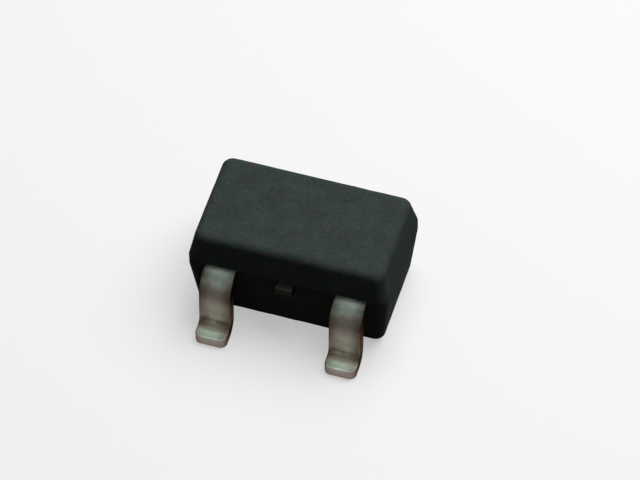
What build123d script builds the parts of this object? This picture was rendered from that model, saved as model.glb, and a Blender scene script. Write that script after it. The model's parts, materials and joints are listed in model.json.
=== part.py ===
"""A Schottky barrier diode in a small three-lead surface-mount package.

Millimetres. X runs along the body, Y across it, Z up. The two front leads are on the -Y
side and the single back lead is on the +Y side. The origin is the centre of the footprint,
on the board: the feet stand at Z = 0.
"""

import os

from build123d import *

# Moulded body
body_length = 2.0
body_width = 1.15
body_height = 1.0
standoff = 0.05
corner_radius = 0.1
upper_draft = 0.065
lower_draft = 0.06
top_edge_radius = 0.055
bottom_edge_radius = 0.03

# Lead frame strip, and how far its underside is above the board where it leaves the body
strip_thickness = 0.12
strip_width = 0.32
frame_level = 0.6
lead_pitch = 1.3

# Gull-wing bends, measured on the centre line of the strip
lead_span = 2.0
shoulder_reach = 0.155
foot_reach = 0.235
shoulder_bend_radius = 0.15
heel_bend_radius = 0.12
toe_corner_radius = 0.07

# Inner posts of the two front leads
post_length = 0.42
post_depth = 0.29
post_overhang = 0.04
post_setback = 0.18
post_corner_radius = 0.035

# Die paddle of the back lead, pressed down below the level of the frame
paddle_length = 0.6
paddle_depth = 0.44
paddle_offset = 0.06
paddle_downset = 0.15
downset_run = 0.12
downset_bend_radius = 0.08
paddle_corner_radius = 0.04

# Tie bar that held the paddle in the strip, cut off just outside the body
tie_bar_width = 0.18
tie_bar_proud = 0.09

# Die and the layer that holds it
die_size = 0.28
die_thickness = 0.12
pad_size = 0.18
pad_thickness = 0.005
pad_corner_radius = 0.03
attach_thickness = 0.015
attach_margin = 0.03
attach_bleed = 0.015

# Bond wire from the die to the anode post
wire_diameter = 0.03
ball_diameter = 0.075
ball_height = 0.024
loop_height = 0.12
loop_bend_radius = 0.055
descent_share = 0.64
stitch_length = 0.1
stitch_width = 0.06
stitch_thickness = 0.008
bond_setback = 0.13

# Levels above the board, from the bottom up
frame_top = frame_level + strip_thickness
frame_middle = frame_level + strip_thickness / 2
body_top = standoff + body_height
paddle_middle = frame_middle - paddle_downset
paddle_top = frame_top - paddle_downset
die_bottom = paddle_top + attach_thickness
die_top = die_bottom + die_thickness
pad_top = die_top + pad_thickness

# Places in plan
body_front = body_width / 2
anode_x = -lead_pitch / 2
unconnected_x = lead_pitch / 2
post_front = body_front - post_setback
post_back = post_front - post_depth
paddle_front = paddle_offset - paddle_depth / 2
paddle_back = paddle_offset + paddle_depth / 2


def gull_wing_points(sign):
    """Centre line of a lead outside the body, from its face to the toe, as (Y, Z)."""
    leg_top = body_front + shoulder_reach
    leg_bottom = lead_span / 2 - foot_reach
    foot_middle = strip_thickness / 2
    return [
        (sign * leg_top, frame_middle),
        (sign * leg_bottom, foot_middle),
        (sign * lead_span / 2, foot_middle),
    ]


def build_front_lead(middle_x, post_side):
    """A front lead: bond post inside the body, gull wing outside it.

    post_side is -1 or 1: the post stands further out on that side of the strip.
    """
    with BuildPart() as lead:
        # The side view, as a sheet that is wider than the lead
        with BuildSketch(Plane.YZ):
            with BuildLine():
                FilletPolyline(
                    (-post_back, frame_middle),
                    *gull_wing_points(-1),
                    radius=[shoulder_bend_radius, heel_bend_radius],
                )
            trace(line_width=strip_thickness)
        extrude(amount=body_length, both=True)

        # The stamped outline, seen from above, cuts the sheet to shape
        with BuildSketch(Plane.XY):
            with Locations((middle_x, -post_back)):
                strip_reach = lead_span / 2 - post_back
                Rectangle(strip_width, strip_reach, align=(Align.CENTER, Align.MAX))
            fillet(vertices().group_by(Axis.Y)[0], toe_corner_radius)
            inner_edge = middle_x - post_side * (strip_width / 2)
            outer_edge = inner_edge + post_side * (post_length - post_overhang)
            inner_edge -= post_side * post_overhang
            with Locations(((inner_edge + outer_edge) / 2, -(post_front + post_back) / 2)):
                RectangleRounded(post_length, post_depth, post_corner_radius)
        extrude(amount=body_top, mode=Mode.INTERSECT)
    return lead


# Anode lead, front left: it carries the bond wire
anode_lead = build_front_lead(anode_x, -1)
anode_lead.part.label = "anode_lead"

# Unconnected lead, front right: nothing is bonded to it
unconnected_lead = build_front_lead(unconnected_x, 1)
unconnected_lead.part.label = "unconnected_lead"

# Cathode lead, back middle: gull wing, downset paddle and tie bar in one strip
with BuildPart() as cathode_lead:
    with BuildSketch(Plane.YZ):
        with BuildLine():
            outer_points = gull_wing_points(1)
            FilletPolyline(
                *reversed(outer_points),
                (paddle_back + downset_run, frame_middle),
                (paddle_back, paddle_middle),
                (paddle_front, paddle_middle),
                (paddle_front - downset_run, frame_middle),
                (-body_front - tie_bar_proud, frame_middle),
                radius=[heel_bend_radius, shoulder_bend_radius] + 4 * [downset_bend_radius],
            )
        trace(line_width=strip_thickness)
    extrude(amount=body_length, both=True)

    with BuildSketch(Plane.XY):
        with Locations((0, paddle_offset)):
            Rectangle(strip_width, lead_span / 2 - paddle_offset, align=(Align.CENTER, Align.MIN))
        fillet(vertices().group_by(Axis.Y)[-1], toe_corner_radius)
        with Locations((0, paddle_offset)):
            tie_bar_reach = body_front + tie_bar_proud + paddle_offset
            Rectangle(tie_bar_width, tie_bar_reach, align=(Align.CENTER, Align.MAX))
            RectangleRounded(paddle_length, paddle_depth, paddle_corner_radius)
    extrude(amount=body_top, mode=Mode.INTERSECT)
cathode_lead.part.label = "cathode_lead"

# Die attach: a thin layer that bleeds out a little under the die
with BuildPart() as die_attach:
    with BuildSketch(Plane.XY.offset(paddle_top)):
        with Locations((0, paddle_offset)):
            attach_foot = die_size + 2 * attach_margin
            RectangleRounded(attach_foot, attach_foot, attach_margin)
    with BuildSketch(Plane.XY.offset(die_bottom)):
        with Locations((0, paddle_offset)):
            attach_rim = attach_foot - 2 * attach_bleed
            RectangleRounded(attach_rim, attach_rim, attach_margin - attach_bleed / 2)
    loft(ruled=True)
die_attach.part.label = "die_attach"

# Schottky die, with its raised anode metal on top
with BuildPart() as schottky_die:
    with BuildSketch(Plane.XY.offset(die_bottom)):
        with Locations((0, paddle_offset)):
            Rectangle(die_size, die_size)
    extrude(amount=die_thickness)
    with BuildSketch(Plane.XY.offset(die_top)):
        with Locations((0, paddle_offset)):
            RectangleRounded(pad_size, pad_size, pad_corner_radius)
    extrude(amount=pad_thickness)
schottky_die.part.label = "schottky_die"

# Bond wire: ball on the die, loop, and stitch on the anode post
ball_point = Vector(0, paddle_offset, pad_top)
stitch_point = Vector(anode_x, -post_back - bond_setback, frame_top)
along_wire = Vector(stitch_point.X - ball_point.X, stitch_point.Y - ball_point.Y, 0)
wire_plane = Plane(origin=ball_point, x_dir=along_wire, z_dir=along_wire.cross(Vector(0, 0, 1)))
wire_run = along_wire.length
stitch_rise = frame_top - pad_top

with BuildPart() as bond_wire:
    with BuildLine(wire_plane):
        FilletPolyline(
            (0, ball_height / 2),
            (0, loop_height),
            (wire_run * descent_share, loop_height),
            (wire_run, stitch_rise - stitch_thickness),
            radius=loop_bend_radius,
        )
    with BuildSketch(Plane(origin=ball_point + Vector(0, 0, ball_height / 2))):
        Circle(wire_diameter / 2)
    sweep()
    split(bisect_by=Plane.XY.offset(frame_top), keep=Keep.TOP)

    with BuildSketch(Plane(origin=ball_point)):
        Circle(ball_diameter / 2)
    ball = extrude(amount=ball_height)
    fillet(ball.edges().group_by(Axis.Z)[-1], ball_height / 3)

    with BuildSketch(Plane(origin=stitch_point, x_dir=along_wire)):
        Ellipse(stitch_length / 2, stitch_width / 2)
    extrude(amount=stitch_thickness)
bond_wire.part.label = "bond_wire"

# Moulded body: two drafted halves and, between them, a straight band as thick as the strip
with BuildPart() as epoxy_body:
    with BuildSketch(Plane.XY.offset(standoff)):
        RectangleRounded(body_length - 2 * lower_draft, body_width - 2 * lower_draft, corner_radius)
    with BuildSketch(Plane.XY.offset(frame_level)):
        RectangleRounded(body_length, body_width, corner_radius)
    loft(ruled=True)
    with BuildSketch(Plane.XY.offset(frame_level)):
        RectangleRounded(body_length, body_width, corner_radius)
    extrude(amount=strip_thickness)
    with BuildSketch(Plane.XY.offset(frame_top)):
        RectangleRounded(body_length, body_width, corner_radius)
    with BuildSketch(Plane.XY.offset(body_top)):
        RectangleRounded(body_length - 2 * upper_draft, body_width - 2 * upper_draft, corner_radius)
    loft(ruled=True)
    fillet(faces().sort_by(Axis.Z)[-1].edges(), top_edge_radius)
    fillet(faces().sort_by(Axis.Z)[0].edges(), bottom_edge_radius)

    # The compound takes the exact shape of everything that it flowed round
    for embedded in (anode_lead, unconnected_lead, cathode_lead, die_attach, schottky_die, bond_wire):
        add(embedded.part, mode=Mode.SUBTRACT)
epoxy_body.part.label = "epoxy_body"

os.makedirs("parts", exist_ok=True)
for piece in (
    epoxy_body,
    anode_lead,
    unconnected_lead,
    cathode_lead,
    die_attach,
    schottky_die,
    bond_wire,
):
    export_step(piece.part, f"parts/{piece.part.label}.step")
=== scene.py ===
"""Looks of a small three-lead surface-mount Schottky diode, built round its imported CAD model.

Sizes here are in millimetres, as in the part's source. MM turns them into Blender's metres.
X runs along the body, Y across it (the single back lead is on +Y), Z up from the board.
"""

import json
import math

import bpy
import numpy as np
from mathutils import Matrix, Vector, noise

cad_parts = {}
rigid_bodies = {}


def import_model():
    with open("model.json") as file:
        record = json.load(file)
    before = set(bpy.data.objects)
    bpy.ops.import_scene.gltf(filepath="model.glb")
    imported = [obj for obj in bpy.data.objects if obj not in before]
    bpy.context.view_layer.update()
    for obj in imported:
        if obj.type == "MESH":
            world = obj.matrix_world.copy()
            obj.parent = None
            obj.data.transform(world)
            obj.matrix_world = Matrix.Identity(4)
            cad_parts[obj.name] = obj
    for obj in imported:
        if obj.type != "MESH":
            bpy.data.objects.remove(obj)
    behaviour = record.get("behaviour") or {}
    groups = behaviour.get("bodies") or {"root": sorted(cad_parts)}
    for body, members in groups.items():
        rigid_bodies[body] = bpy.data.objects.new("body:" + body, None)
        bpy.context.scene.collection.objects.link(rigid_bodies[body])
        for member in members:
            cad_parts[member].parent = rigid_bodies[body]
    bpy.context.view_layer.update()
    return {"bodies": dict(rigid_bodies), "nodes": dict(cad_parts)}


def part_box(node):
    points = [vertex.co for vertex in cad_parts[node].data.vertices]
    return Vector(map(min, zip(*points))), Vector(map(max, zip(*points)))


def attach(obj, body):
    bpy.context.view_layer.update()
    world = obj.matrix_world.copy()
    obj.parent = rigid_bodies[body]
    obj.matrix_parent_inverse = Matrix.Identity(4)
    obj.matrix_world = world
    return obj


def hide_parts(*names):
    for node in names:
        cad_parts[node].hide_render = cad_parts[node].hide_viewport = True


MM = 0.001
WHITE = (1, 1, 1)

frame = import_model()
ONLY_BODY = next(iter(frame["bodies"]))

# Sizes taken from the frame
body_low, body_high = (Vector(corner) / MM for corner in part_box("epoxy_body"))
anode_high = Vector(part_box("anode_lead")[1]) / MM
cathode_low, cathode_high = (Vector(corner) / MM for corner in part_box("cathode_lead"))

BODY_HALF_LENGTH = body_high.x
BODY_HALF_WIDTH = body_high.y
BODY_BOTTOM = body_low.z
BODY_TOP = body_high.z
TOE_Y = cathode_high.y
FRAME_TOP = anode_high.z
POST_BACK_Y = anode_high.y
STUB_Y = cathode_low.y

# Sizes of the part's source that the boxes don't give
STRIP_THICKNESS = 0.12
STRIP_WIDTH = 0.32
LEAD_PITCH = 1.3
SHOULDER_REACH = 0.155
FOOT_REACH = 0.235
SHOULDER_BEND_RADIUS = 0.15
HEEL_BEND_RADIUS = 0.12
TOE_CORNER_RADIUS = 0.07
POST_LENGTH = 0.42
POST_DEPTH = 0.29
POST_OVERHANG = 0.04
POST_CORNER_RADIUS = 0.035
PADDLE_LENGTH = 0.6
PADDLE_DEPTH = 0.44
PADDLE_OFFSET = 0.06
PADDLE_DOWNSET = 0.15
DOWNSET_RUN = 0.12
DOWNSET_BEND_RADIUS = 0.08
PADDLE_CORNER_RADIUS = 0.04
TIE_BAR_WIDTH = 0.18
CORNER_RADIUS = 0.1
UPPER_DRAFT = 0.065
LOWER_DRAFT = 0.06
BOTTOM_EDGE_RADIUS = 0.03

FRAME_MIDDLE = FRAME_TOP - STRIP_THICKNESS / 2
FRAME_LEVEL = FRAME_TOP - STRIP_THICKNESS
# The flat of a foot, from the end of the heel bend to the toe
FLAT_OF_FOOT = 0.122

# Fineness of the meshes: the usual cell, then the cells along each kind of arc or side
CELL = 0.02
EDGE_CELLS = 4
BEND_CELLS = 14
TOE_CELLS = 12
STRIP_WIDTH_CELLS = 16
STRIP_SIDE_CELLS = 5
CORNER_CELLS = 5
BODY_EDGE_CELLS = 8
# An edge is shaded sharp where its faces turn by more than this many degrees
SHARP_ANGLE = 50

# Softness of the edges
STAMPED_EDGE_RADIUS = 0.014
PARTING_EDGE_RADIUS = 0.006
SMALLEST_CORNER_RADIUS = 0.01
# The body's top edge is softer in the photograph than the 0.055 of the part's source
TOP_EDGE_RADIUS = 0.085

# Unevenness of the surfaces: its depth, the length of its waves, and a seed's place in the noise
MOULD_WAVE_DEPTH = 0.003
MOULD_WAVE_LENGTH = 0.16
STRIP_WAVE_DEPTH = 0.0016
STRIP_WAVE_LENGTH = 0.09
SEED_SHIFT = (7.3, 3.1, 5.7)

# Camera, fitted to the photograph: angles in degrees, scale in pixels for each millimetre
CAMERA_AZIMUTH = 18.26
CAMERA_ELEVATION = 52.82
CAMERA_ROLL = -1.38
CAMERA_DISTANCE = 50.0
NEAREST_SEEN = 1
FURTHEST_SEEN = 1000
PIXELS_PER_MM = 104.13
IMAGE_WIDTH = 640
IMAGE_HEIGHT = 480
SENSOR_WIDTH = 36.0
# Where the middle of the body, at the height of the strip, is in the photograph
AIM_PIXEL_X = 303.75
AIM_PIXEL_Y = 240.6

# Stage: the floor's size, its colour and glow where it is seen, its colour where it only lights
# the part, the fill from all round, and the one soft light
FLOOR_HALF_WIDTH = 60.0
FLOOR_AS_SEEN = (0.5, 0.5, 0.5)
FLOOR_GLOW = 0.46
FLOOR_AS_LIGHT = (0.08, 0.058, 0.05)
FILL_LEVEL = 0.06
KEY_LIGHT_PLACE = (6.5, 13, 31)
KEY_LIGHT_SIZE = 32
KEY_LIGHT_LEVEL = 1.2


# Meshes

def new_piece(name, vertices, faces, node_name):
    """An object from vertices in millimetres that stands for a CAD node."""
    mesh = bpy.data.meshes.new(name)
    mesh.from_pydata([tuple(v) for v in np.asarray(vertices) * MM], [], faces)
    mesh.validate()
    mesh.polygons.foreach_set("use_smooth", [True] * len(mesh.polygons))
    mesh.set_sharp_from_angle(angle=math.radians(SHARP_ANGLE))
    mesh.update()
    piece = bpy.data.objects.new(name, mesh)
    bpy.context.scene.collection.objects.link(piece)
    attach(piece, ONLY_BODY)
    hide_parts(node_name)
    return piece


def roughen(piece, depth, wave_length, seed, low, high):
    """Sinks the surface by up to depth, unevenly, and keeps it between the corners low and high."""
    mesh = piece.data
    places = np.empty(3 * len(mesh.vertices))
    normals = np.empty(3 * len(mesh.vertices))
    mesh.vertices.foreach_get("co", places)
    mesh.vertices.foreach_get("normal", normals)
    places = places.reshape(-1, 3) / MM

    shift = Vector([seed * step for step in SEED_SHIFT])
    increment, lacunarity, octaves = 0.6, 2.0, 3
    waves = [
        noise.fractal(Vector(place) / wave_length + shift, increment, lacunarity, octaves)
        for place in places
    ]
    sink = depth * np.clip(0.5 + 0.5 * np.array(waves), 0, 1)
    places -= normals.reshape(-1, 3) * sink[:, None]
    places = np.clip(places, np.array(low), np.array(high))
    mesh.vertices.foreach_set("co", (places * MM).ravel())
    mesh.update()


class RoundedPath:
    """A polyline in a plane with its corners rounded, measured by length from its start."""

    def __init__(self, points, radii):
        points = [Vector(point) for point in points]
        self.runs = []
        position = points[0]
        for before, corner, after, radius in zip(points, points[1:], points[2:], radii):
            into = (corner - before).normalized()
            out = (after - corner).normalized()
            turn = -into.angle_signed(out)
            reach = radius * math.tan(abs(turn) / 2)
            self.add_line(position, corner - into * reach)
            self.add_run(corner - into * reach, into, turn, abs(turn) * radius)
            position = corner + out * reach
        self.add_line(position, points[-1])
        self.length = sum(run["length"] for run in self.runs)

    def add_line(self, start, end):
        """Adds a straight run."""
        along = end - start
        self.add_run(start, along.normalized(), 0, along.length)

    def add_run(self, start, tangent, turn, length):
        """Adds a run that turns by an angle over its length, to the left where it is positive."""
        self.runs.append({"start": start, "tangent": tangent, "turn": turn, "length": length})

    def at(self, distance):
        """Position and tangent at a distance from the start."""
        for run in self.runs:
            if distance <= run["length"] or run is self.runs[-1]:
                break
            distance -= run["length"]
        tangent = run["tangent"]
        if run["turn"] == 0:
            return run["start"] + tangent * distance, tangent
        radius = run["length"] / abs(run["turn"])
        angle = run["turn"] * distance / run["length"]
        side = math.copysign(1, run["turn"])
        centre = run["start"] + Vector((-tangent.y, tangent.x)) * side * radius
        spin = Matrix.Rotation(angle, 2)
        return centre + spin @ (run["start"] - centre), spin @ tangent

    def distances(self, cell, arc_cells):
        """Distances that divide each line into even cells and each arc into arc_cells."""
        marks, passed = [0.0], 0.0
        for run in self.runs:
            cells = arc_cells if run["turn"] else max(1, round(run["length"] / cell))
            marks += [passed + run["length"] * (k + 1) / cells for k in range(cells)]
            passed += run["length"]
        return marks


def corner_inset(distance, radius):
    """How far a round corner stands back from the corner's sides, at a distance from its end."""
    if distance >= radius:
        return 0.0
    return radius - math.sqrt(max(0.0, radius**2 - (radius - distance) ** 2))


def section_pattern():
    """Points round the strip's section, as shares of its flats and of its edge radius."""
    signs = [(1, 1), (-1, 1), (-1, -1), (1, -1)]
    pattern = []
    for quarter, (side, up) in enumerate(signs):
        for k in range(EDGE_CELLS + 1):
            angle = math.pi / 2 * (quarter + k / EDGE_CELLS)
            pattern.append((side, up, math.cos(angle), math.sin(angle)))
        next_side, next_up = signs[(quarter + 1) % 4]
        cells = STRIP_SIDE_CELLS if side == next_side else STRIP_WIDTH_CELLS
        edge = math.pi / 2 * (quarter + 1)
        for k in range(1, cells):
            share = k / cells
            across = side + (next_side - side) * share
            height = up + (next_up - up) * share
            pattern.append((across, height, math.cos(edge), math.sin(edge)))
    return np.array(pattern)


def strip_mesh(path, distances, span_at):
    """A strip with rounded edges along a path in the YZ plane that runs towards -Y.

    span_at(y) gives the strip's lowest and highest X there.
    """
    pattern = section_pattern()
    edge = STAMPED_EDGE_RADIUS
    vertices = []
    for distance in distances:
        (y, z), (along_y, along_z) = path.at(distance)
        end_inset = corner_inset(min(distance, path.length - distance), edge)
        left, right = span_at(y)
        half_width = (right - left) / 2 - end_inset
        half_height = STRIP_THICKNESS / 2 - end_inset
        across = (left + right) / 2 + pattern[:, 0] * (half_width - edge) + pattern[:, 2] * edge
        up = pattern[:, 1] * (half_height - edge) + pattern[:, 3] * edge
        vertices.append(np.column_stack([across, y + along_z * up, z - along_y * up]))
    count = len(pattern)
    faces = []
    for ring in range(len(distances) - 1):
        for k in range(count):
            a = ring * count + k
            b = ring * count + (k + 1) % count
            faces.append((a, b, b + count, a + count))
    faces.append(tuple(reversed(range(count))))
    last = (len(distances) - 1) * count
    faces.append(tuple(range(last, last + count)))
    return np.concatenate(vertices), faces


def strip_distances(path, step_places):
    """Even stations along a path, and more at its ends and at the Y places of the outline's steps."""
    marks = path.distances(CELL, arc_cells=BEND_CELLS)
    angles = [math.pi / 2 * k / EDGE_CELLS for k in range(EDGE_CELLS)]
    ends = [STAMPED_EDGE_RADIUS * (1 - math.cos(angle)) for angle in angles]
    ends += [TOE_CORNER_RADIUS * k / TOE_CELLS for k in range(1, TOE_CELLS + 1)]
    for end in ends:
        marks += [end, path.length - end]

    # A step in the outline is made over a very short stretch
    half_stretch = 0.001
    sample_count = 4000
    samples = np.linspace(0, path.length, sample_count)
    sample_places = np.array([path.at(distance)[0].x for distance in samples])
    for place in step_places:
        crossing = samples[np.argmin(np.abs(sample_places - place))]
        marks += [crossing - half_stretch, crossing + half_stretch]

    least_gap = 0.0005
    marks = sorted(mark for mark in marks if 0 <= mark <= path.length)
    kept = [marks[0]]
    for mark in marks[1:]:
        if mark - kept[-1] > least_gap:
            kept.append(mark)
    return kept


def gull_wing(sign):
    """Centre line of a lead outside the body, from its face to the toe, as (Y, Z)."""
    foot_middle = STRIP_THICKNESS / 2
    return [
        (sign * (BODY_HALF_WIDTH + SHOULDER_REACH), FRAME_MIDDLE),
        (sign * (TOE_Y - FOOT_REACH), foot_middle),
        (sign * TOE_Y, foot_middle),
    ]


def new_strip(node_name, path, step_places, span_at, seed, low, high):
    """A plated strip in place of a CAD lead, from its path and its outline in plan.

    Its uneven surface stays between the corners low and high: inf sets no limit.
    """
    vertices, faces = strip_mesh(path, strip_distances(path, step_places), span_at)
    piece = new_piece(node_name + "_plated", vertices, faces, node_name)
    roughen(piece, STRIP_WAVE_DEPTH, STRIP_WAVE_LENGTH, seed, low, high)
    return piece


def front_lead(node_name, middle_x, post_side):
    """A front lead: bond post inside the body, gull wing outside it.

    post_side is -1 or 1: the post stands further out on that side of the strip.
    """
    points = [(POST_BACK_Y, FRAME_MIDDLE), *gull_wing(-1)]
    path = RoundedPath(points, [SHOULDER_BEND_RADIUS, HEEL_BEND_RADIUS])
    post_front_y = POST_BACK_Y - POST_DEPTH
    near_edge = middle_x - post_side * (STRIP_WIDTH / 2 + POST_OVERHANG)
    far_edge = near_edge + post_side * POST_LENGTH
    post_left, post_right = sorted((near_edge, far_edge))

    def span_at(y):
        if y > post_front_y:
            inset = corner_inset(min(POST_BACK_Y - y, y - post_front_y), POST_CORNER_RADIUS)
            return post_left + inset, post_right - inset
        inset = corner_inset(y + TOE_Y, TOE_CORNER_RADIUS)
        return middle_x - STRIP_WIDTH / 2 + inset, middle_x + STRIP_WIDTH / 2 - inset

    low = (-math.inf, -TOE_Y, 0)
    high = (math.inf, math.inf, FRAME_TOP)
    return new_strip(node_name, path, [post_front_y], span_at, 2 + post_side, low, high)


def cathode_strip():
    """The back lead with its downset paddle and its tie bar."""
    paddle_back = PADDLE_OFFSET + PADDLE_DEPTH / 2
    paddle_front = PADDLE_OFFSET - PADDLE_DEPTH / 2
    paddle_middle = FRAME_MIDDLE - PADDLE_DOWNSET
    points = [
        *reversed(gull_wing(1)),
        (paddle_back + DOWNSET_RUN, FRAME_MIDDLE),
        (paddle_back, paddle_middle),
        (paddle_front, paddle_middle),
        (paddle_front - DOWNSET_RUN, FRAME_MIDDLE),
        (STUB_Y, FRAME_MIDDLE),
    ]
    radii = [HEEL_BEND_RADIUS, SHOULDER_BEND_RADIUS] + 4 * [DOWNSET_BEND_RADIUS]
    path = RoundedPath(points, radii)

    def span_at(y):
        if y > paddle_back:
            half = STRIP_WIDTH / 2 - corner_inset(TOE_Y - y, TOE_CORNER_RADIUS)
        elif y > paddle_front:
            nearest = min(paddle_back - y, y - paddle_front)
            half = PADDLE_LENGTH / 2 - corner_inset(nearest, PADDLE_CORNER_RADIUS)
        else:
            half = TIE_BAR_WIDTH / 2
        return -half, half

    low = (-math.inf, STUB_Y, 0)
    high = (math.inf, TOE_Y, FRAME_TOP)
    return new_strip("cathode_lead", path, [paddle_back, paddle_front], span_at, 5, low, high)


def square_lines(half_cells):
    """Lines across a rounded rectangle, as (share of the flat, share of the corner)."""
    corner = [k / CORNER_CELLS for k in range(CORNER_CELLS, 0, -1)]
    lines = [(-1.0, -share) for share in corner]
    lines += [(k / half_cells, 0.0) for k in range(-half_cells, half_cells + 1)]
    lines += [(1.0, share) for share in reversed(corner)]
    return np.array(lines)


def plan_points(flats, corners, half_length, half_width, radius):
    """Grid points in plan, from their shares: the corners' squares become quarter discs."""
    a, b = corners[:, 0], corners[:, 1]
    x = flats[:, 0] * (half_length - radius) + radius * a * np.sqrt(1 - b**2 / 2)
    y = flats[:, 1] * (half_width - radius) + radius * b * np.sqrt(1 - a**2 / 2)
    return np.column_stack([x, y])


def level_points(level, flats, corners):
    """Points of one level of the body: its grid, or only some points of that.

    Where a level stands in past the draft, the corners' radius shrinks by as much.
    """
    out, z = level
    draft = UPPER_DRAFT if z > FRAME_MIDDLE else LOWER_DRAFT
    radius = CORNER_RADIUS - max(0, -draft - out)
    radius = max(radius, SMALLEST_CORNER_RADIUS)
    plan = plan_points(flats, corners, BODY_HALF_LENGTH + out, BODY_HALF_WIDTH + out, radius)
    return np.column_stack([plan, np.full(len(plan), z)])


def body_levels():
    """Levels of the body from its bottom face, up the wall, to its top face.

    Each is (distance out from the widest place, height). The first and the last stand in from
    the end of the wall by the edge's radius and cap_margin.
    """
    cap_margin = 0.02
    profile = RoundedPath(
        [
            (-LOWER_DRAFT - BOTTOM_EDGE_RADIUS - cap_margin, BODY_BOTTOM),
            (-LOWER_DRAFT, BODY_BOTTOM),
            (0, FRAME_LEVEL),
            (0, FRAME_TOP),
            (-UPPER_DRAFT, BODY_TOP),
            (-UPPER_DRAFT - TOP_EDGE_RADIUS - cap_margin, BODY_TOP),
        ],
        [BOTTOM_EDGE_RADIUS, PARTING_EDGE_RADIUS, PARTING_EDGE_RADIUS, TOP_EDGE_RADIUS],
    )
    return [profile.at(distance)[0] for distance in profile.distances(CELL, BODY_EDGE_CELLS)]


def moulded_body():
    """The body: drafted halves above and below a straight band as thick as the strip."""
    x_lines = square_lines(round((BODY_HALF_LENGTH - CORNER_RADIUS) / CELL))
    y_lines = square_lines(round((BODY_HALF_WIDTH - CORNER_RADIUS) / CELL))
    last_x, last_y = len(x_lines) - 1, len(y_lines) - 1
    grid = [(i, j) for j in range(last_y + 1) for i in range(last_x + 1)]
    flats = np.array([(x_lines[i, 0], y_lines[j, 0]) for i, j in grid])
    corners = np.array([(x_lines[i, 1], y_lines[j, 1]) for i, j in grid])

    rim = [(i, 0) for i in range(last_x)]
    rim += [(last_x, j) for j in range(last_y)]
    rim += [(i, last_y) for i in range(last_x, 0, -1)]
    rim += [(0, j) for j in range(last_y, 0, -1)]
    rim_index = [j * (last_x + 1) + i for i, j in rim]

    # The bottom and top faces are grids
    levels = body_levels()
    vertices, faces = [], []
    for level in (levels[0], levels[-1]):
        vertices.append(level_points(level, flats, corners))
    cap_size = len(grid)
    for j in range(last_y):
        for i in range(last_x):
            a = j * (last_x + 1) + i
            quad = (a, a + 1, a + last_x + 2, a + last_x + 1)
            faces.append(tuple(reversed(quad)))
            faces.append(tuple(cap_size + k for k in quad))

    # The wall between them is a stack of rings
    rings = [rim_index]
    passed = 2 * cap_size
    for level in levels[1:-1]:
        vertices.append(level_points(level, flats[rim_index], corners[rim_index]))
        rings.append(list(range(passed, passed + len(rim))))
        passed += len(rim)
    rings.append([cap_size + k for k in rim_index])
    for lower, upper in zip(rings, rings[1:]):
        for k in range(len(rim)):
            n = (k + 1) % len(rim)
            faces.append((lower[k], lower[n], upper[n], upper[k]))

    name = "epoxy_body_moulded"
    piece = new_piece(name, np.concatenate(vertices), faces, "epoxy_body")
    roughen(piece, MOULD_WAVE_DEPTH, MOULD_WAVE_LENGTH, 1, body_low, body_high)
    return piece


# Materials

def new_material(name):
    """A material whose node tree holds only a Principled shader and its output."""
    made = bpy.data.materials.new(name)
    made.use_nodes = True
    return made, made.node_tree.nodes["Principled BSDF"]


def node(tree, kind, inputs=None, **settings):
    """A shader node with its settings and its unlinked or linked inputs."""
    made = tree.nodes.new(kind)
    for key, value in settings.items():
        setattr(made, key, value)
    for key, value in (inputs or {}).items():
        if isinstance(value, bpy.types.NodeSocket):
            tree.links.new(value, made.inputs[key])
        else:
            made.inputs[key].default_value = value
    return made


def grain(tree, feature, detail=3.0, roughness=0.55):
    """A noise value whose spots are about feature millimetres across."""
    place = node(tree, "ShaderNodeTexCoord").outputs["Object"]
    settings = {
        "Vector": place,
        "Scale": 1 / (feature * MM),
        "Detail": detail,
        "Roughness": roughness,
    }
    return node(tree, "ShaderNodeTexNoise", settings).outputs["Fac"]


def ramp(tree, value, stops):
    """A colour ramp: stops are (position, colour)."""
    made = node(tree, "ShaderNodeValToRGB", {"Fac": value})
    elements = made.color_ramp.elements
    while len(elements) < len(stops):
        elements.new(0.5)
    for element, (position, colour) in zip(elements, stops):
        element.position = position
        element.color = (*colour, 1)
    return made.outputs["Color"]


def spread(tree, value, low, high, from_low=0.3, from_high=0.7):
    """A value stretched from a range, a noise's usual one if none is given, to low and high."""
    settings = {
        "Value": value,
        "From Min": from_low,
        "From Max": from_high,
        "To Min": low,
        "To Max": high,
    }
    return node(tree, "ShaderNodeMapRange", settings).outputs["Result"]


def rise(tree, value, start, end):
    """0 where a value is up to start, 1 where it is end or more, and evenly between."""
    return spread(tree, value, 0, 1, start, end)


def mix_colours(tree, share, first, second, blend="MIX"):
    """Two colours mixed by share."""
    made = node(tree, "ShaderNodeMix", data_type="RGBA", blend_type=blend)
    # The node has an A, a B and a Result for each kind of value: the colours' are 6, 7 and 2
    for index, value in ((0, share), (6, first), (7, second)):
        if isinstance(value, bpy.types.NodeSocket):
            tree.links.new(value, made.inputs[index])
        else:
            made.inputs[index].default_value = value if index == 0 else (*value, 1)
    return made.outputs[2]


def tinted(tree, colour, tint):
    """A colour multiplied by another."""
    return mix_colours(tree, 1.0, colour, tint, blend="MULTIPLY")


def bump(tree, height, distance, strength, under=None):
    """A bump normal; distance is in millimetres."""
    settings = {"Height": height, "Distance": distance * MM, "Strength": strength}
    if under is not None:
        settings["Normal"] = under
    return node(tree, "ShaderNodeBump", settings).outputs["Normal"]


def calculate(tree, operation, first, second):
    """A value worked out from two values or sockets."""
    return node(tree, "ShaderNodeMath", {0: first, 1: second}, operation=operation).outputs[0]


def absolute(tree, value):
    """A value without its sign."""
    return calculate(tree, "ABSOLUTE", value, 0)


def wavering(tree, value, noise_value, by):
    """A value that a noise moves up or down, by no more than the given amount."""
    return calculate(tree, "ADD", value, spread(tree, noise_value, -by, by))


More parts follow.
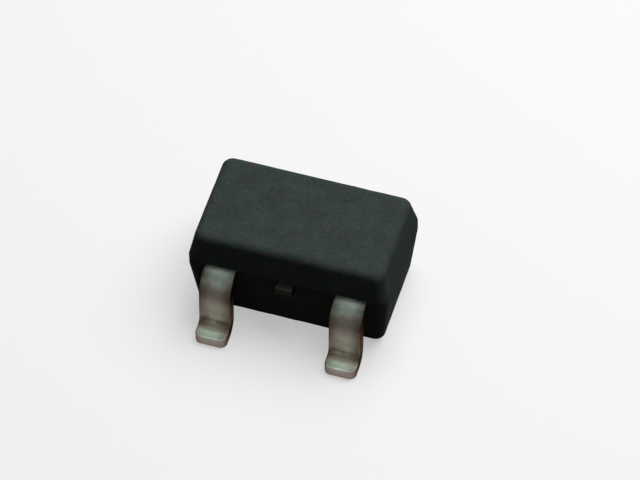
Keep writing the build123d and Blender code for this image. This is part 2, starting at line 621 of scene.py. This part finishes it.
def axes(tree, vector):
    """The X, Y and Z values of a vector: metres where it is the place on the part."""
    return node(tree, "ShaderNodeSeparateXYZ", {0: vector}).outputs


def mould_compound():
    """Black-green epoxy, matte as moulded, mottled from teal to brown, with fine filler grain."""
    made, shader = new_material("mould_compound")
    tree = made.node_tree
    mottle = grain(tree, feature=0.075, detail=5.0, roughness=0.7)
    teal = (0.038, 0.067, 0.060)
    grey = (0.053, 0.068, 0.062)
    brown = (0.070, 0.069, 0.060)
    base = ramp(tree, mottle, [(0.34, teal), (0.5, grey), (0.68, brown)])

    # Lighter and darker clouds
    large = grain(tree, feature=0.2, detail=4.0, roughness=0.65)
    darker = (0.8, 0.8, 0.82)
    clouded = tinted(tree, base, ramp(tree, large, [(0.34, darker), (0.66, WHITE)]))

    # Dark and light grains of the filler
    filler = grain(tree, feature=0.016, roughness=0.7)
    dark_grain = (0.72, 0.73, 0.72)
    light_grain = (0.03, 0.029, 0.024)
    gritty = tinted(tree, clouded, ramp(tree, filler, [(0.36, dark_grain), (0.62, WHITE)]))
    flecks = ramp(tree, filler, [(0.64, (0, 0, 0)), (0.74, light_grain)])
    colour = mix_colours(tree, 1.0, gritty, flecks, blend="ADD")

    tree.links.new(colour, shader.inputs["Base Color"])
    tree.links.new(spread(tree, mottle, 0.74, 0.86), shader.inputs["Roughness"])
    coarse = bump(tree, grain(tree, feature=0.045), distance=0.003, strength=0.5)
    fine = bump(tree, filler, distance=0.0016, strength=0.6, under=coarse)
    tree.links.new(fine, shader.inputs["Normal"])
    shader.inputs["Specular IOR Level"].default_value = 0.01
    return made


def painted_light_and_shade_up_the_leg(tree, z, cloud):
    """Colour of the tin by height, from the heel's creased bend over the foot to the top of the
    shoulders, with painted light and shade: painted shade in the creased bend, painted light at the
    leg's foot, and painted shade up the leg and over the shoulders.
    """
    height = rise(tree, z, 0, FRAME_TOP * MM)
    # Painted light and shade by height: near-dark at the heel's creased bend, lighter at the leg's
    # foot, darker up the leg, and darker over the shoulders to dim their highlight
    painted_crease_shade = (0.13, 0.113, 0.09)
    painted_light_at_foot_of_leg = (0.5, 0.475, 0.42)
    leg = (0.345, 0.317, 0.273)
    painted_shade_up_the_leg = (0.12, 0.104, 0.09)
    painted_shoulder_shade = (0.165, 0.198, 0.171)
    painted_shoulder_top_shade = (0.095, 0.114, 0.099)
    stops = [
        (0.2, painted_crease_shade),
        (0.29, painted_light_at_foot_of_leg),
        (0.42, leg),
        (0.5, leg),
        (0.76, painted_shade_up_the_leg),
        (0.85, painted_shade_up_the_leg),
        (0.93, painted_shoulder_shade),
        (1.0, painted_shoulder_top_shade),
    ]
    return ramp(tree, wavering(tree, height, cloud, by=0.035), stops)


def plate_with_painted_foot_highlight(tree, out, upright):
    """The tin with the flat of the foot, which carries a painted highlight a little way out from the
    bend, with painted shade at the bend's edge and towards the toe.
    """
    foot_start = TOE_Y - FLAT_OF_FOOT
    start_blur = 0.018
    on_foot = rise(tree, out, (foot_start - start_blur) * MM, foot_start * MM)
    along_foot = rise(tree, out, foot_start * MM, TOE_Y * MM)
    # Painted light on the foot: painted shade at the bend's edge, a painted highlight, then painted
    # shade towards the toe
    painted_bend_edge_shade = (0.30, 0.315, 0.25)
    painted_foot_highlight = (0.46, 0.56, 0.46)
    painted_toe_shade = (0.26, 0.325, 0.28)
    foot = ramp(tree, along_foot, [(0.0, painted_bend_edge_shade), (0.3, painted_foot_highlight), (0.85, painted_toe_shade)])
    return mix_colours(tree, on_foot, upright, foot)


def edge_and_side_painted_shade(tree, off_middle, cloud, facing):
    """Share of the tin's colour left by painted shade towards the strip's edges, tinted warm as a
    painted reflection, and by painted shade on its stamped sides.
    """
    off_pitch = absolute(tree, calculate(tree, "SUBTRACT", off_middle, LEAD_PITCH / 2 * MM))
    across = calculate(tree, "MINIMUM", off_middle, off_pitch)
    uneven = wavering(tree, across, cloud, by=0.02 * MM)
    # Painted shade towards the strip's edges, warm as a painted reflection, and painted shade on the
    # sides that face along X
    unshaded_reach = 0.045
    painted_edge_shade = (0.34, 0.29, 0.255)
    edge_shade_share = rise(tree, uneven, unshaded_reach * MM, STRIP_WIDTH / 2 * MM)
    edge_shaded = mix_colours(tree, edge_shade_share, WHITE, painted_edge_shade)
    painted_side_shade = (0.62, 0.6, 0.58)
    sideways = rise(tree, absolute(tree, facing["X"]), 0.45, 0.85)
    return tinted(tree, edge_shaded, mix_colours(tree, sideways, WHITE, painted_side_shade))


def with_resin_film_and_painted_shade(tree, plate, out, cloud):
    """The plate under a thin bleed of moulding compound where the strip leaves the body; the bleed is
    partly real and partly painted shade of the body.
    """
    # A dark share that is partly real bleed of compound and partly painted shade of the body
    thickest = 0.2
    reach = 0.035
    resin_and_painted_shade = (0.045, 0.052, 0.046)
    ragged = wavering(tree, out, cloud, by=0.012 * MM)
    film_end = BODY_HALF_WIDTH + reach
    film_and_shade_share = spread(tree, ragged, thickest, 0, BODY_HALF_WIDTH * MM, film_end * MM)
    return mix_colours(tree, film_and_shade_share, plate, resin_and_painted_shade)


def with_cut_ends(tree, plate, y, out, off_middle, fine, facing):
    """The plate, with copper alloy smeared over the cut toes and painted shade on the tie bar stub.
    """
    copper = (0.37, 0.25, 0.225)
    painted_stub_shade = (0.0115, 0.013, 0.0115)
    upright_face = spread(tree, absolute(tree, facing["Z"]), 1, 0, 0.4, 0.7)
    smear_start = TOE_Y - TOE_CORNER_RADIUS
    full_smear = TOE_Y - 0.02
    at_toe = rise(tree, out, smear_start * MM, full_smear * MM)
    toe = calculate(tree, "MULTIPLY", at_toe, upright_face)
    smeared = calculate(tree, "MULTIPLY", toe, spread(tree, fine, 0.3, 0.9))
    toed = mix_colours(tree, smeared, plate, copper)
    # The tie bar stub is near black: painted shade of the body's front wall above it
    near_middle = calculate(tree, "LESS_THAN", off_middle, TIE_BAR_WIDTH * MM)
    before_body = calculate(tree, "LESS_THAN", y, -BODY_HALF_WIDTH * MM)
    stub = calculate(tree, "MULTIPLY", before_body, near_middle)
    return mix_colours(tree, stub, toed, painted_stub_shade)


def tinned_lead():
    """Satin tin plate with painted light and shade: a painted highlight on the feet, painted light
    and shade by height, painted shade at the edges and on the stub, a thin bleed of compound that is
    partly painted shade, and bare cut ends.

    Inside the body the strip is silvered for the die and the wire.
    """
    made, shader = new_material("tinned_lead")
    tree = made.node_tree
    x, y, z = axes(tree, node(tree, "ShaderNodeTexCoord").outputs["Object"])
    facing = axes(tree, node(tree, "ShaderNodeNewGeometry").outputs["Normal"])
    off_middle = absolute(tree, x)
    out = absolute(tree, y)
    cloud = grain(tree, feature=0.12)
    fine = grain(tree, feature=0.012, detail=4.0, roughness=0.65)

    plate = plate_with_painted_foot_highlight(tree, out, painted_light_and_shade_up_the_leg(tree, z, cloud))
    dull_patch = (0.78, 0.77, 0.75)
    dulled = tinted(tree, plate, ramp(tree, cloud, [(0.3, dull_patch), (0.68, WHITE)]))
    edged = tinted(tree, dulled, edge_and_side_painted_shade(tree, off_middle, cloud, facing))
    filmed = with_resin_film_and_painted_shade(tree, edged, out, cloud)
    ended = with_cut_ends(tree, filmed, y, out, off_middle, fine, facing)

    silvered = (0.70, 0.69, 0.66)
    just_inside = BODY_HALF_WIDTH - 0.005
    inside = calculate(tree, "LESS_THAN", out, just_inside * MM)
    tree.links.new(mix_colours(tree, inside, ended, silvered), shader.inputs["Base Color"])
    tree.links.new(spread(tree, cloud, 0.5, 0.38), shader.inputs["Roughness"])
    dents = grain(tree, feature=0.06, detail=2.0)
    wide_dents = bump(tree, dents, distance=0.004, strength=0.5)
    fine_dents = bump(tree, fine, distance=0.0012, strength=0.6, under=wide_dents)
    tree.links.new(fine_dents, shader.inputs["Normal"])
    shader.inputs["Metallic"].default_value = 1.0
    # Tarnish also takes the shine off where the metal is seen at a low angle
    shader.inputs["Specular Tint"].default_value = (0.45, 0.38, 0.33, 1)
    return made


def plain_inner(name, colour, metallic, roughness, feature, variation):
    """A finish for a piece inside the body: colour and gloss vary a little with a fine grain."""
    made, shader = new_material(name)
    tree = made.node_tree
    spots = grain(tree, feature)
    dark = tuple(channel * (1 - variation) for channel in colour)
    tree.links.new(ramp(tree, spots, [(0.3, dark), (0.7, colour)]), shader.inputs["Base Color"])
    tree.links.new(spread(tree, spots, roughness, roughness + 0.1), shader.inputs["Roughness"])
    dents = bump(tree, spots, distance=0.0008, strength=0.4)
    tree.links.new(dents, shader.inputs["Normal"])
    shader.inputs["Metallic"].default_value = metallic
    return made


def give(piece, material):
    """The piece wears only this material."""
    piece.data.materials.clear()
    piece.data.materials.append(material)


# Stage, lights and camera

def seen_directly(tree):
    """1 for rays from the camera and for rays that metal or glass sends on, else 0."""
    path = node(tree, "ShaderNodeLightPath").outputs
    mirrored = calculate(tree, "MAXIMUM", path["Is Glossy Ray"], path["Is Transmission Ray"])
    return calculate(tree, "MAXIMUM", path["Is Camera Ray"], mirrored)


def pale_floor():
    """The plain pale surface that the feet stand on.

    It is pale where it is seen, and darker where it would only light the part from below.
    """
    half = FLOOR_HALF_WIDTH
    corners = [(-half, -half, 0), (half, -half, 0), (half, half, 0), (-half, half, 0)]
    mesh = bpy.data.meshes.new("floor")
    mesh.from_pydata([Vector(corner) * MM for corner in corners], [], [(0, 1, 2, 3)])
    floor = bpy.data.objects.new("floor", mesh)
    bpy.context.scene.collection.objects.link(floor)

    made, shader = new_material("floor")
    tree = made.node_tree
    seen = seen_directly(tree)
    colour = mix_colours(tree, seen, FLOOR_AS_LIGHT, FLOOR_AS_SEEN)
    tree.links.new(colour, shader.inputs["Base Color"])
    glow = calculate(tree, "MULTIPLY", seen, FLOOR_GLOW)
    tree.links.new(glow, shader.inputs["Emission Strength"])
    shader.inputs["Emission Color"].default_value = (*WHITE, 1)
    shader.inputs["Roughness"].default_value = 0.9
    shader.inputs["Specular IOR Level"].default_value = 0.0
    give(floor, made)


def soft_light(name, towards, size, level):
    """A square soft light.

    towards is where it stands from the part, in millimetres, and level the share of plain light
    that a surface facing it gets: at 1 a white surface renders white.
    """
    data = bpy.data.lights.new(name, "AREA")
    data.shape = "SQUARE"
    data.size = size * MM
    distance = Vector(towards).length * MM
    data.energy = level * math.pi**2 * distance**2
    light = bpy.data.objects.new(name, data)
    bpy.context.scene.collection.objects.link(light)
    light.location = Vector(towards) * MM
    light.rotation_euler = Vector(towards).to_track_quat("Z", "Y").to_euler()


def studio():
    """One large soft light above the part, a little behind it and to its right, and a weak fill."""
    soft_light("key_light", KEY_LIGHT_PLACE, KEY_LIGHT_SIZE, KEY_LIGHT_LEVEL)
    world = bpy.data.worlds.new("studio")
    bpy.context.scene.world = world
    world.use_nodes = True
    tree = world.node_tree
    background = tree.nodes["Background"]
    background.inputs["Color"].default_value = (*WHITE, 1)
    strength = calculate(tree, "MAXIMUM", seen_directly(tree), FILL_LEVEL)
    tree.links.new(strength, background.inputs["Strength"])


def photo_camera():
    """The camera at the photograph's angle, with the part at the photograph's place and size."""
    azimuth, elevation = math.radians(CAMERA_AZIMUTH), math.radians(CAMERA_ELEVATION)
    back = Vector(
        (
            math.sin(azimuth) * math.cos(elevation),
            -math.cos(azimuth) * math.cos(elevation),
            math.sin(elevation),
        )
    )
    level = Vector((math.cos(azimuth), math.sin(azimuth), 0))
    upright = back.cross(level)
    roll = math.radians(CAMERA_ROLL)
    right = level * math.cos(roll) + upright * math.sin(roll)
    up = upright * math.cos(roll) - level * math.sin(roll)
    sideways = (IMAGE_WIDTH / 2 - AIM_PIXEL_X) / PIXELS_PER_MM
    upwards = (AIM_PIXEL_Y - IMAGE_HEIGHT / 2) / PIXELS_PER_MM
    aim = Vector((0, 0, FRAME_MIDDLE)) + right * sideways + up * upwards

    data = bpy.data.cameras.new("photo_camera")
    data.sensor_width = SENSOR_WIDTH
    data.lens = SENSOR_WIDTH * PIXELS_PER_MM * CAMERA_DISTANCE / IMAGE_WIDTH
    data.clip_start = NEAREST_SEEN * MM
    data.clip_end = FURTHEST_SEEN * MM
    camera = bpy.data.objects.new("photo_camera", data)
    bpy.context.scene.collection.objects.link(camera)
    turned = Matrix((right, up, back)).transposed().to_4x4()
    camera.matrix_world = Matrix.Translation((aim + back * CAMERA_DISTANCE) * MM) @ turned
    bpy.context.scene.camera = camera


# The pieces, each with its material
tin = tinned_lead()
give(moulded_body(), mould_compound())
give(front_lead("anode_lead", -LEAD_PITCH / 2, -1), tin)
give(front_lead("unconnected_lead", LEAD_PITCH / 2, 1), tin)
give(cathode_strip(), tin)

silver_epoxy = plain_inner(
    "silver_epoxy", (0.62, 0.62, 0.6), metallic=0.6, roughness=0.5, feature=0.01, variation=0.3
)
silicon = plain_inner(
    "silicon", (0.25, 0.26, 0.29), metallic=0.8, roughness=0.15, feature=0.05, variation=0.1
)
gold_wire = plain_inner(
    "gold_wire", (1.0, 0.77, 0.36), metallic=1.0, roughness=0.18, feature=0.01, variation=0.08
)
give(frame["nodes"]["die_attach"], silver_epoxy)
give(frame["nodes"]["schottky_die"], silicon)
give(frame["nodes"]["bond_wire"], gold_wire)

pale_floor()
studio()
photo_camera()
bpy.context.scene.view_settings.view_transform = "Standard"
